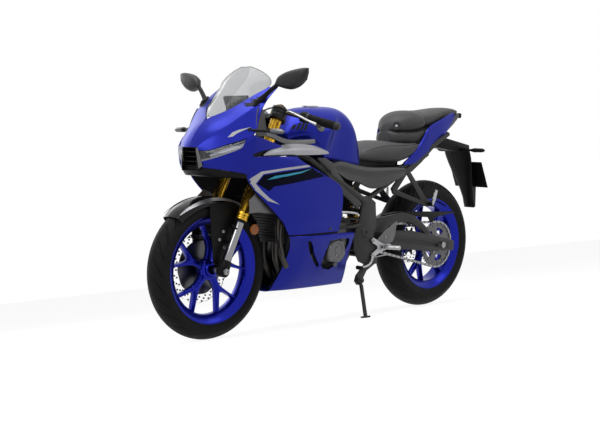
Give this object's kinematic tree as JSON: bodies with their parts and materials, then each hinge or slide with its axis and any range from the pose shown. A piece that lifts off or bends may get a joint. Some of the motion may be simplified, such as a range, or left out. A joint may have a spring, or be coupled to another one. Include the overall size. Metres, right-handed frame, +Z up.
{
  "type": "sport motorcycle",
  "caption": "Faired sport motorcycle with clip-on handlebars, stepped two-piece seat and cast wheels, leaning on its side stand.",
  "frame": {"origin": "centre of the bounding box, on the floor under the tyres", "axes": "+X forward along the bike, +Y to the rider's left, +Z up; the bike leans 10 degrees towards +Y on its side stand"},
  "size_m": [2.0732, 0.8008, 1.1712],
  "materials": {
    "frame_black": "satin",
    "engine_grey": "satin",
    "blue_tank": "gloss metallic",
    "blue_panel": "gloss metallic",
    "silver_panel": "satin metallic",
    "grey_panel": "satin",
    "black_plastic": "satin",
    "seat_cover": "matte",
    "gold_fork": "anodised",
    "bare_aluminium": "satin",
    "steel": "brushed",
    "dark_steel": "satin",
    "blue_wheel": "gloss",
    "tyre_rubber": "matte",
    "clear_glass": "clear",
    "lamp_glass": "clear",
    "red_glass": "gloss",
    "instrument_black": "gloss"
  },
  "bodies": {
    "chassis": {"chain": "steel", "chain_guard": "black_plastic", "cowl_stay": "frame_black", "engine": "engine_grey", "exhaust": "dark_steel", "fairing_stays": "dark_steel", "footrest_left": "bare_aluminium", "footrest_right": "bare_aluminium", "front_signals": "black_plastic", "fuel_tank": "blue_tank", "headlight_left": "lamp_glass", "headlight_right": "lamp_glass", "instrument_panel": "instrument_black", "lower_cowl_left": "blue_panel", "lower_cowl_right": "blue_panel", "main_frame": "frame_black", "mirror_left": "black_plastic", "mirror_right": "black_plastic", "nose_duct": "black_plastic", "number_plate": "black_plastic", "pillion_seat": "seat_cover", "radiator": "frame_black", "rear_axle": "steel", "rear_caliper": "frame_black", "rear_fender": "black_plastic", "rear_signals": "black_plastic", "rider_seat": "seat_cover", "shock_absorber": "steel", "side_cover_left": "grey_panel", "side_cover_right": "grey_panel", "side_fairing_left": "blue_panel", "side_fairing_right": "blue_panel", "side_trim_left": "silver_panel", "side_trim_right": "silver_panel", "subframe": "frame_black", "swingarm": "frame_black", "tail_core": "grey_panel", "tail_light": "red_glass", "tail_side_left": "blue_panel", "tail_side_right": "blue_panel", "upper_cowl": "blue_panel", "windscreen": "clear_glass"},
    "steering": {"lower_clamp": "frame_black", "upper_clamp": "frame_black", "fork_left": "gold_fork", "fork_right": "gold_fork", "front_axle": "steel", "front_caliper": "frame_black", "front_fender": "black_plastic", "handlebar_left": "frame_black", "handlebar_right": "frame_black"},
    "front_wheel": {"front_tyre": "tyre_rubber", "front_rim": "blue_wheel", "front_disc": "steel"},
    "rear_wheel": {"rear_tyre": "tyre_rubber", "rear_rim": "blue_wheel", "rear_disc": "steel", "rear_sprocket": "steel"},
    "side_stand": {"side_stand": "frame_black"},
    "fuel_cap": {"fuel_cap": "steel"}
  },
  "joints": [
    {"name": "steering_turn", "type": "hinge", "parent": "chassis", "child": "steering", "pos_m": [0.46675, -0.05223, 0.78657], "axis": [-0.4226, 0.1574, 0.8925], "range_deg": [-32, 32]},
    {"name": "front_wheel_spin", "type": "hinge", "parent": "steering", "child": "front_wheel", "pos_m": [0.74365, -0.13985, 0.28969], "axis": [0, 0.9848, -0.1736], "continuous": true},
    {"name": "rear_wheel_spin", "type": "hinge", "parent": "chassis", "child": "rear_wheel", "pos_m": [-0.63635, -0.1362, 0.31037], "axis": [0, 0.9848, -0.1736], "continuous": true},
    {"name": "side_stand_fold", "type": "hinge", "parent": "chassis", "child": "side_stand", "pos_m": [-0.02035, -0.00289, 0.16806], "axis": [0.0574, 0.946, 0.319], "range_deg": [0, 112]},
    {"name": "fuel_cap_lift", "type": "hinge", "parent": "chassis", "child": "fuel_cap", "pos_m": [0.19965, -0.02085, 0.96458], "axis": [0, 0.9848, -0.1736], "range_deg": [0, 100]}
  ]
}
